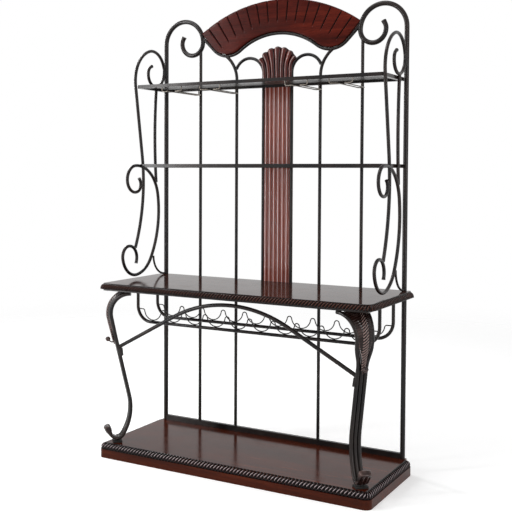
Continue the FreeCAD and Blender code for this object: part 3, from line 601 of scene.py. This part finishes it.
# ---------------------------------------------------------------- reeded panel
REEDS = 6
REED_SHARE = 0.74            # of each pitch; a small bead takes the rest
REED_VALLEY = 0.2395
REED_RISE = 0.0068
BEAD_RISE = 0.0024
REED_LIT = (0.46, 0.29)      # middle and half width of a painted highlight, partly rubbed wear, as shares of a reed
# strength of the painted highlight on each bead
BEAD_SHINE = 0.62
VALLEY_SHARE = 0.07          # share at each side of a reed that gets painted shade
PANEL_BACK_TONE = -0.45


def reeds_part():
    """Six half-round reeds with a bead beside each, cut straight up the panel."""
    low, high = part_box("reeded_panel")
    pitch = (high.x - low.x) / REEDS
    section, tones = [], []
    for i in range(REEDS):
        for start, share, rise, count, shine in (
            (0.0, REED_SHARE, REED_RISE, 26, 1.0),
            (REED_SHARE, 1 - REED_SHARE, BEAD_RISE, 12, BEAD_SHINE),
        ):
            for k in range(count):
                v = k / count
                x = low.x + pitch * (i + start + share * v)
                crown = math.sqrt(max(0.0, 1.0 - (2 * v - 1) ** 2))
                section.append((x, REED_VALLEY - rise * crown))
                # painted highlight near each crown, partly rubbed wear, and painted shade in the
                # valleys
                lit = max(0.0, 1.0 - abs(v - REED_LIT[0]) / REED_LIT[1]) * shine
                tones.append(-1.0 if min(v, 1 - v) < VALLEY_SHARE else lit)
    section += [(high.x, REED_VALLEY), (high.x, high.y), (low.x, high.y)]
    tones += [-1.0, PANEL_BACK_TONE, PANEL_BACK_TONE]
    rings = [[Vector((x, y, z)) for x, y in section] for z in (low.z, high.z)]
    return *loft(rings), tones * 2


# ---------------------------------------------------------------- shell
SHELL_LOBES = 7
SHELL_LEAN = math.radians(23)
SHELL_WIDE = 0.0857
SHELL_RISE = 0.072
SCALLOP = 0.019
SHELL_FOOT = 0.079
SHELL_WAIST = (0.081, 1.795)
WAIST_AT = 0.3               # share of a flute that lies below the waist
WAIST_PULL = 0.045           # how far a flute runs straight up before it fans out
RIM_END = -20                # degrees at which the outer lobes' rims end
SHELL_VALLEY = -0.002        # hollows between the flutes, which stand 12 mm proud of them
SHELL_BACK = 0.0045
SHELL_STEPS, FLUTE_STEPS = 60, 22
FLUTE_DARK = 0.12            # share at each side of a flute that gets painted shade
FLUTE_LIT = (0.40, 0.13)     # middle and half width of its painted highlight, partly rubbed wear


def lobe_centre(n, top):
    lean = n * SHELL_LEAN
    base = top - SCALLOP - SHELL_RISE
    return Vector((SHELL_WIDE * math.sin(lean), 0, base + SHELL_RISE * math.cos(lean)))


def lobe_mark(n, degrees, top):
    t = math.radians(degrees)
    return lobe_centre(n, top) + Vector((math.cos(t), 0, math.sin(t))) * SCALLOP


def notch(n, top):
    """Where the rims of the lobes n and n + 1 meet."""
    a, b = lobe_centre(n, top), lobe_centre(n + 1, top)
    half = (b - a).length / 2
    out = Vector((-(b - a).z, 0, (b - a).x)).normalized()
    return (a + b) / 2 + out * math.sqrt(SCALLOP ** 2 - half ** 2)


def flute_line(n, top, foot):
    """Valley n of the shell, from its foot through the waist to the rim."""
    last = SHELL_LOBES // 2
    at = n / (SHELL_LOBES / 2) * SHELL_FOOT
    if abs(n) == last + 0.5:
        end = lobe_mark(last, RIM_END, top)
        end.x = math.copysign(end.x, n)
    else:
        end = notch(math.floor(n), top)
    low = Vector((at, 0, foot))
    waist = Vector((at * SHELL_WAIST[0] / SHELL_FOOT, 0, SHELL_WAIST[1]))
    line = []
    pull = waist + Vector((0, 0, WAIST_PULL))
    for i in range(SHELL_STEPS + 1):
        t = i / SHELL_STEPS
        if t < WAIST_AT:
            line.append(low.lerp(waist, t / WAIST_AT))
        else:
            s = (t - WAIST_AT) / (1 - WAIST_AT)
            line.append(waist * (1 - s) ** 2 + pull * 2 * s * (1 - s) + end * s * s)
    return line


def shell_tone(u):
    """Painted shade between the flutes, with a thin painted highlight, partly rubbed wear, left of
    each crown.
    """
    if min(u, 1 - u) < FLUTE_DARK:
        return -1.0
    return max(0.0, 1.0 - abs(u - FLUTE_LIT[0]) / FLUTE_LIT[1])


def shell_part():
    """Scallop shell: round flutes that swell out to lobes and fall back at the rim."""
    low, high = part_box("shell_finial")
    last = SHELL_LOBES // 2
    rows, backs, shades = ([[] for _ in range(SHELL_STEPS + 1)] for _ in range(3))
    for n in range(-last, last + 1):
        left = flute_line(n - 0.5, high.z, low.z)
        right = flute_line(n + 0.5, high.z, low.z)
        centre = lobe_centre(n, high.z)
        ends = [math.atan2(p.z - centre.z, p.x - centre.x) for p in (left[-1], right[-1])]
        if ends[0] < -math.pi / 2:
            ends[0] += 2 * math.pi
        for i in range(SHELL_STEPS + 1):
            t = i / SHELL_STEPS
            swell = smoothstep((t - 0.55) / 0.45)
            for j in range(FLUTE_STEPS + (n == last)):
                u = j / FLUTE_STEPS
                turn = ends[0] + (ends[1] - ends[0]) * u
                rim = centre + Vector((math.cos(turn), 0, math.sin(turn))) * SCALLOP
                spot = left[i].lerp(right[i], u) + (rim - left[-1].lerp(right[-1], u)) * swell
                crown = math.sqrt(max(0.0, 1.0 - (2 * u - 1) ** 2))
                fall = math.sqrt(max(0.0, 1.0 - max(0.0, (t - 0.93) / 0.07) ** 2))
                rise = (0.0015 + 0.0105 * crown * (0.6 + 0.4 * smoothstep(t / 0.6))) * fall
                rows[i].append(Vector((spot.x, BACK + SHELL_VALLEY - rise, spot.z)))
                backs[i].append(Vector((spot.x, BACK + SHELL_BACK, spot.z)))
                shades[i].append(shell_tone(u) * (0.4 + 0.6 * fall))
    rings = [front + list(reversed(back)) for front, back in zip(rows, backs)]
    tones = [tone for shade in shades for tone in shade + [0.0] * len(shade)]
    return *loft(rings), tones


# ---------------------------------------------------------------- leg castings
LEG_OFFSET = 0.184
LEG_R = 0.0085
KNEE_R = 0.096
KNEE_TURN = math.radians(102.9)
LEG_START = (0.538, 0.7655)
LEG_LOW = 0.0173             # sideways spacing of the outer tubes, low down
LEG_HIGH = 0.032             # and at the knee
FANS = (math.radians(28), math.radians(4))
BEND_LENGTH = 0.105
LEAF_TOP = math.radians(14)
LEAF_RUN = 0.126
LEAF_THICK = 0.007
LEAF_STEPS, LEAF_WIDE = 170, 24
LEAF_TIP = 0.06              # width of the leaf's tip as a share of its widest
VEIN_PITCH = 0.0105
VEIN_RISE = 0.0020
VEIN_SLANT = 1.3
UNDERSIDE = 0.0035
CORD_STEPS, CORD_ROUND = 260, 28
CORD_START, CORD_SHORT = 0.022, 0.034    # where the cord begins, and how much shorter it is
CORD_PITCH = 0.0115
CORD_HALF = 0.0125
CORD_HIGH = 0.0068
CORD_SLANT = 0.9
BALL = (0.645, 0.548)
BALL_R = 0.0115
BALL_STEPS, BALL_ROUND = 16, 22
STEM_R = 0.0032
STEM_STEPS = 26
ACROSS = Vector((1, 1, 0)).normalized()
OUTWARD = Vector((1, -1, 0)).normalized()


def leg_plane(u, z):
    """Point of the right leg's diagonal plane, u outwards to the corner."""
    return Vector((LEG_OFFSET, BACK, z)) + OUTWARD * u


def leaf_station(run):
    """(point on the middle tube's outer side, way along, way out) at a distance down the leaf."""
    reach = KNEE_R + LEG_R
    arc = reach * (KNEE_TURN - LEAF_TOP)
    turn = LEAF_TOP + min(run, arc) / reach
    out = OUTWARD * math.sin(turn) + UP * math.cos(turn)
    along = OUTWARD * math.cos(turn) - UP * math.sin(turn)
    centre = leg_plane(LEG_START[0], LEG_START[1] - KNEE_R)
    spot = centre + out * reach + along * max(0.0, run - arc)
    return spot, along, out


def leaf_length():
    return (KNEE_R + LEG_R) * (KNEE_TURN - LEAF_TOP) + LEAF_RUN


def outer_tube_spot(side, fan, run):
    """Point on an outer tube's middle line: before 0 on its arc over the knee, after 0 below it."""
    away = ACROSS * side
    way = OUTWARD * math.cos(KNEE_TURN) - UP * math.sin(KNEE_TURN)
    inward = -OUTWARD * math.sin(KNEE_TURN) - UP * math.cos(KNEE_TURN)
    toward = inward * math.cos(fan) + away * math.sin(fan)
    knee = leg_plane(
        LEG_START[0] + KNEE_R * math.sin(KNEE_TURN),
        LEG_START[1] - KNEE_R * (1 - math.cos(KNEE_TURN)),
    )
    start = knee + away * LEG_HIGH
    if run >= 0.0:
        move = LEG_HIGH - LEG_LOW
        share = smoothstep(run / BEND_LENGTH)
        return start + way * run - away * move * share
    turn = math.pi + math.atan(way.z / toward.z)
    rise = (1 - math.cos(turn)) * toward.z - math.sin(turn) * way.z
    radius = (LEG_START[1] - knee.z) / rise
    t = min(turn, -run / radius)
    return start + toward * (radius * (1 - math.cos(t))) - way * (radius * math.sin(t))


def leaf_blade():
    """Acanthus blade from tube to tube over the knee, with slanting veins and a notched edge."""
    total = leaf_length()
    knee_at = total - LEAF_RUN
    rings, tones = [], []
    for i in range(LEAF_STEPS + 1):
        t = i / LEAF_STEPS
        run = total * t
        spot, _, out = leaf_station(run)
        below = (run - knee_at) * (1.0 if run > knee_at else KNEE_R / (KNEE_R + LEG_R))
        sides = [outer_tube_spot(side, fan, below) for side, fan in zip((-1, 1), FANS)]
        narrow = 1.0 - smoothstep((t - 0.42) / 0.56)
        narrow = LEAF_TIP + (1 - LEAF_TIP) * narrow
        narrow *= 0.95 + 0.05 * abs(math.sin(math.pi * run / VEIN_PITCH))
        centre = spot + out * LEAF_THICK * 0.75
        ring, under, shades = [], [], []
        for j in range(LEAF_WIDE + 1):
            w = -1 + 2 * j / LEAF_WIDE
            edge = sides[0] if w < 0 else sides[1]
            reach = abs(w) * narrow
            flat = centre.lerp(edge + out * LEG_R * 0.7, reach)
            crown = out * LEAF_THICK * 0.35 * math.sin(math.pi * reach)
            ridge = abs(math.sin(math.pi * (run / VEIN_PITCH - VEIN_SLANT * abs(w))))
            ring.append(flat + crown + out * VEIN_RISE * (ridge - 0.5) * (1 - w ** 6))
            under.append(flat - out * UNDERSIDE)
            # painted highlight on the veins, partly rubbed wear, and painted shade between them
            shades.append(1.3 * ridge - 0.95)
        rings.append(ring + list(reversed(under)))
        tones += shades + [0.0] * len(under)
    return *loft(rings), tones


def leaf_cord():
    """Broad twisted cord down the middle of the leaf."""
    total = leaf_length()
    rings, tones = [], []
    for i in range(CORD_STEPS + 1):
        t = i / CORD_STEPS
        run = CORD_START + (total - CORD_SHORT) * t
        spot, _, out = leaf_station(run)
        centre = spot + out * LEAF_THICK * 0.65
        size = math.sin(math.pi * (0.10 + 0.80 * t)) ** 0.5
        ring = []
        for j in range(CORD_ROUND):
            a = 2 * math.pi * j / CORD_ROUND
            w = math.cos(a)
            strand = abs(math.sin(math.pi * (run / CORD_PITCH + CORD_SLANT * w)))
            depth = 0.72 + 0.28 * strand ** 0.6
            ring.append(
                centre + ACROSS * (CORD_HALF * size * w * (0.93 + 0.07 * strand))
                + out * (CORD_HIGH * size * depth * math.sin(a))
            )
            # painted highlight on the strands, partly rubbed wear, and painted shade between them
            tones.append(max(-1.0, 3.0 * strand - 2.0))
        rings.append(ring)
    return *loft(rings), tones


def tube(line, radii, round_=14):
    """Round bar through points, its radius given at each."""
    rings = []
    for i, spot in enumerate(line):
        way = (line[min(i + 1, len(line) - 1)] - line[max(i - 1, 0)]).normalized()
        side = ACROSS - way * ACROSS.dot(way)
        side.normalize()
        other = way.cross(side)
        turns = (2 * math.pi * j / round_ for j in range(round_))
        rings.append([spot + (side * math.cos(a) + other * math.sin(a)) * radii[i] for a in turns])
    return loft(rings)


def leaf_curl():
    """Tip of the leaf: it turns out into a short stem that ends in a ball."""
    spot, along, out = leaf_station(leaf_length() - 0.016)
    ball = leg_plane(*BALL)
    start = spot + out * 0.003
    bend = start + along * 0.012 + out * 0.012
    line, radii = [], []
    for i in range(STEM_STEPS + 1):
        t = i / STEM_STEPS
        line.append(start * (1 - t) ** 2 + bend * 2 * t * (1 - t) + ball * t * t)
        radii.append(STEM_R * (1.25 - 0.35 * math.sin(math.pi * t)))
    knob_line, knob_radii = [], []
    way = (ball - bend).normalized()
    for i in range(BALL_STEPS + 1):
        a = math.pi * i / BALL_STEPS
        knob_line.append(ball - way * BALL_R * math.cos(a))
        groove = 1.0 - 0.10 * math.exp(-((a - math.pi / 2) / 0.16) ** 2)
        knob_radii.append(max(0.0004, BALL_R * math.sin(a) * groove))
    return [tube(line, radii), tube(knob_line, knob_radii, BALL_ROUND)]


LEG_SEGS = (
    # radius and turn of each arc, or 0 and the length of a straight run, from LEG_START on
    (KNEE_R, -KNEE_TURN),
    (0.0, 0.3757),
    (0.242, math.radians(44.9)),
    (0.030, math.radians(62.0)),
    (0.034, math.radians(60.0)),
    (0.0, 0.044),
)
TOE_FROM = 4                 # the first segment that belongs to the toe
TOE_STEPS, TOE_ROUND = 46, 72


def walk(stop, share):
    """(u, z, heading) on the leg's middle line: `share` of the way along segment `stop`."""
    (u, z), h = LEG_START, 0.0
    for index, (radius, amount) in enumerate(LEG_SEGS):
        if index > stop:
            break
        part = amount * (share if index == stop else 1.0)
        if radius == 0.0:
            u += part * math.cos(h)
            z += part * math.sin(h)
        else:
            side = 1.0 if part > 0 else -1.0
            cu = u - side * radius * math.sin(h)
            cz = z + side * radius * math.cos(h)
            h += part
            u = cu + side * radius * math.sin(h)
            z = cz - side * radius * math.cos(h)
    return u, z, h


def toe_part():
    """Fluted tongue that curls up in front of the foot and flares out at its tip."""
    spans = [radius * abs(amount) if radius else amount for radius, amount in LEG_SEGS[TOE_FROM:]]
    rings = []
    for i in range(TOE_STEPS + 1):
        t = i / TOE_STEPS
        run = sum(spans) * t
        index = 0
        while index < len(spans) - 1 and run > spans[index]:
            run -= spans[index]
            index += 1
        u, z, h = walk(TOE_FROM + index, run / spans[index])
        normal = OUTWARD * -math.sin(h) + UP * math.cos(h)
        wide = 0.0235 + 0.0025 * smoothstep((t - 0.30) / 0.50)
        thick = 0.0085 + 0.0070 * smoothstep((t - 0.35) / 0.40)
        tip = math.sqrt(1.0 - 0.80 * max(0.0, (t - 0.94) / 0.06) ** 2)
        cut = 1.0 - smoothstep((t - 0.60) / 0.35)
        ring = []
        for j in range(TOE_ROUND):
            a = 2 * math.pi * j / TOE_ROUND
            c, s = math.cos(a), math.sin(a)
            x = math.copysign(abs(c) ** 0.75, c)
            y = math.copysign(abs(s) ** 0.65, s)
            flute = 0.5 + 0.5 * math.cos(3 * math.pi * x)
            depth = 1.0 - (0.45 * cut if y < 0 else 0.08) * flute * (1 - abs(x) ** 6)
            sideways = ACROSS * (wide * x * (0.3 + 0.7 * tip))
            ring.append(leg_plane(u, z) + sideways + normal * (thick * tip * y * depth))
        rings.append(ring)
    return loft(rings)


def leg_castings():
    leaf = [leaf_blade(), leaf_cord(), *leaf_curl()]
    toe = [toe_part()]
    for side in ("right", "left"):
        if side == "left":
            leaf = [mirrored(part) for part in leaf]
            toe = [mirrored(part) for part in toe]
        piece("leaf_casting_" + side, leaf, "cast_iron", "cast_iron", "leg_leaf_" + side)
        piece("toe_casting_" + side, toe, "cast_iron", "cast_iron", "leg_toe_" + side)


# ---------------------------------------------------------------- carried-over nodes
FINISHES = (
    # the first prefix that fits a node's name decides; the rest are plain iron
    ("base_", "base_wood"),
    ("counter_front_iron", "iron"),
    ("counter_lugs", "iron"),
    ("counter_screws", "screw"),
    ("counter_", "counter_wood"),
    ("crest_board", "crest_wood"),
    ("reeded_panel", "panel_wood"),
    ("shell_finial", "panel_wood"),
    ("leg_leaf", "cast_iron"),
    ("leg_toe", "cast_iron"),
    ("leg_pads", "pad"),
    ("stem_hanger", "wire"),
    ("mid_shelf_sheet", "shelf_sheet"),
    ("top_shelf_sheet", "shelf_sheet"),
    ("", "iron"),
)


def dress_nodes():
    for name, node in NODES.items():
        finish = next(kind for prefix, kind in FINISHES if name.startswith(prefix))
        node.data.materials.clear()
        node.data.materials.append(MATERIALS[finish])


# ---------------------------------------------------------------- studio
WORLD_LIGHT = 0.45
MIDDLE = Vector((0.0, 0.0, 1.05))        # what the lamps face
LAMPS = (
    # name, place, width and height, watts
    ("key", (-2.75, -3.0, 1.9), (0.4, 3.4), 78.0),
    ("fill", (3.7, -1.4, 1.7), (0.4, 3.2), 42.0),
    ("rim", (-3.2, 1.6, 2.9), (0.6, 2.4), 55.0),
    ("top", (-0.8, -0.9, 4.4), (2.2, 1.2), 48.0),
)
FLOOR_RADIUS = 6.0
FLOOR_SIDES = 96
FLOOR_COLOUR = 0.88
FLOOR_LIFT = 0.38            # glow that lights nothing, so the floor meets the white behind it
FLOOR_NEAR = 2.0             # the floor fades out between these distances
FLOOR_FAR = 5.5
LENS, SENSOR, SHIFT = 62.28, 36.0, -0.10
EYE = Vector((1.9483, -3.4439, 1.3142))
YAW, PITCH, ROLL = 0.5101, -0.0346, 0.0049


def background_rays(tree):
    """1 for the rays that show the white background: camera, gloss and transmission."""
    path = tree.nodes.new("ShaderNodeLightPath")
    total = path.outputs["Is Camera Ray"]
    for ray in ("Is Glossy Ray", "Is Transmission Ray"):
        both = tree.nodes.new("ShaderNodeMath")
        both.operation = "MAXIMUM"
        tree.links.new(total, both.inputs[0])
        tree.links.new(path.outputs[ray], both.inputs[1])
        total = both.outputs[0]
    return total


def blend_to(out, tree, factor, first, second):
    """Two shaders, mixed by a factor, into the output's surface."""
    pick = tree.nodes.new("ShaderNodeMixShader")
    for source, socket in zip((factor, first, second), pick.inputs):
        tree.links.new(source, socket)
    tree.links.new(pick.outputs[0], out.inputs["Surface"])


def world():
    """White for the rays that see it, and a soft even light for the rest."""
    made = bpy.data.worlds.new("studio")
    made.use_nodes = True
    tree = made.node_tree
    tree.nodes.clear()
    out = tree.nodes.new("ShaderNodeOutputWorld")
    skies = []
    for strength in (1.0, WORLD_LIGHT):
        sky = tree.nodes.new("ShaderNodeBackground")
        sky.inputs["Color"].default_value = (*WHITE, 1)
        sky.inputs["Strength"].default_value = strength
        skies.append(sky.outputs[0])
    seen, glow = skies
    blend_to(out, tree, background_rays(tree), glow, seen)
    bpy.context.scene.world = made


def floor_material():
    """Pale diffuse floor, lifted to white for the rays that see it, fading out with distance."""
    made = bpy.data.materials.new("studio_floor")
    made.use_nodes = True
    tree = made.node_tree
    tree.nodes.clear()
    out = tree.nodes.new("ShaderNodeOutputMaterial")
    plain = tree.nodes.new("ShaderNodeBsdfDiffuse")
    plain.inputs["Color"].default_value = (FLOOR_COLOUR, FLOOR_COLOUR, FLOOR_COLOUR, 1)
    glow = tree.nodes.new("ShaderNodeEmission")
    lift = tree.nodes.new("ShaderNodeMath")
    lift.operation = "MULTIPLY"
    lift.inputs[1].default_value = FLOOR_LIFT
    tree.links.new(background_rays(tree), lift.inputs[0])
    tree.links.new(lift.outputs[0], glow.inputs["Strength"])
    both = tree.nodes.new("ShaderNodeAddShader")
    tree.links.new(plain.outputs[0], both.inputs[0])
    tree.links.new(glow.outputs[0], both.inputs[1])
    clear = tree.nodes.new("ShaderNodeBsdfTransparent")
    place = tree.nodes.new("ShaderNodeTexCoord")
    reach = tree.nodes.new("ShaderNodeVectorMath")
    reach.operation = "LENGTH"
    tree.links.new(place.outputs["Object"], reach.inputs[0])
    fade = tree.nodes.new("ShaderNodeMapRange")
    fade.interpolation_type = "SMOOTHSTEP"
    fade.inputs["From Min"].default_value = FLOOR_NEAR
    fade.inputs["From Max"].default_value = FLOOR_FAR
    tree.links.new(reach.outputs["Value"], fade.inputs["Value"])
    blend_to(out, tree, fade.outputs[0], both.outputs[0], clear.outputs[0])
    return made


def floor():
    made = bmesh.new()
    bmesh.ops.create_circle(made, cap_ends=True, segments=FLOOR_SIDES, radius=FLOOR_RADIUS)
    mesh = bpy.data.meshes.new("floor")
    made.to_mesh(mesh)
    made.free()
    mesh.materials.append(floor_material())
    obj = bpy.data.objects.new("floor", mesh)
    bpy.context.scene.collection.objects.link(obj)


def lamps():
    for name, place, (width, height), watts in LAMPS:
        data = bpy.data.lights.new(name, "AREA")
        data.shape = "RECTANGLE"
        data.size, data.size_y = width, height
        data.energy = watts
        way = (MIDDLE - Vector(place)).normalized()
        lamp = bpy.data.objects.new(name, data)
        lamp.matrix_world = (
            Matrix.Translation(place) @ way.to_track_quat("-Z", "Y").to_matrix().to_4x4()
        )
        bpy.context.scene.collection.objects.link(lamp)


def camera():
    data = bpy.data.cameras.new("photo_view")
    data.sensor_width = SENSOR
    data.lens = LENS
    data.shift_y = SHIFT
    turn = (
        Matrix.Rotation(YAW, 4, "Z")
        @ Matrix.Rotation(math.pi / 2 + PITCH, 4, "X")
        @ Matrix.Rotation(ROLL, 4, "Z")
    )
    obj = bpy.data.objects.new("photo_view", data)
    obj.matrix_world = Matrix.Translation(EYE) @ turn
    bpy.context.scene.collection.objects.link(obj)
    bpy.context.scene.camera = obj


# ---------------------------------------------------------------- scene
camera()
dress_nodes()
mouldings()
piece("crest_carving", [crest_part()], "crest_wood", "panel_wood", "crest_board")
piece("reeds_carving", [reeds_part()], "panel_wood", "panel_wood", "reeded_panel")
piece("shell_carving", [shell_part()], "shell_wood", "panel_wood", "shell_finial")
leg_castings()
world()
floor()
lamps()
bpy.context.scene.view_settings.view_transform = "Standard"
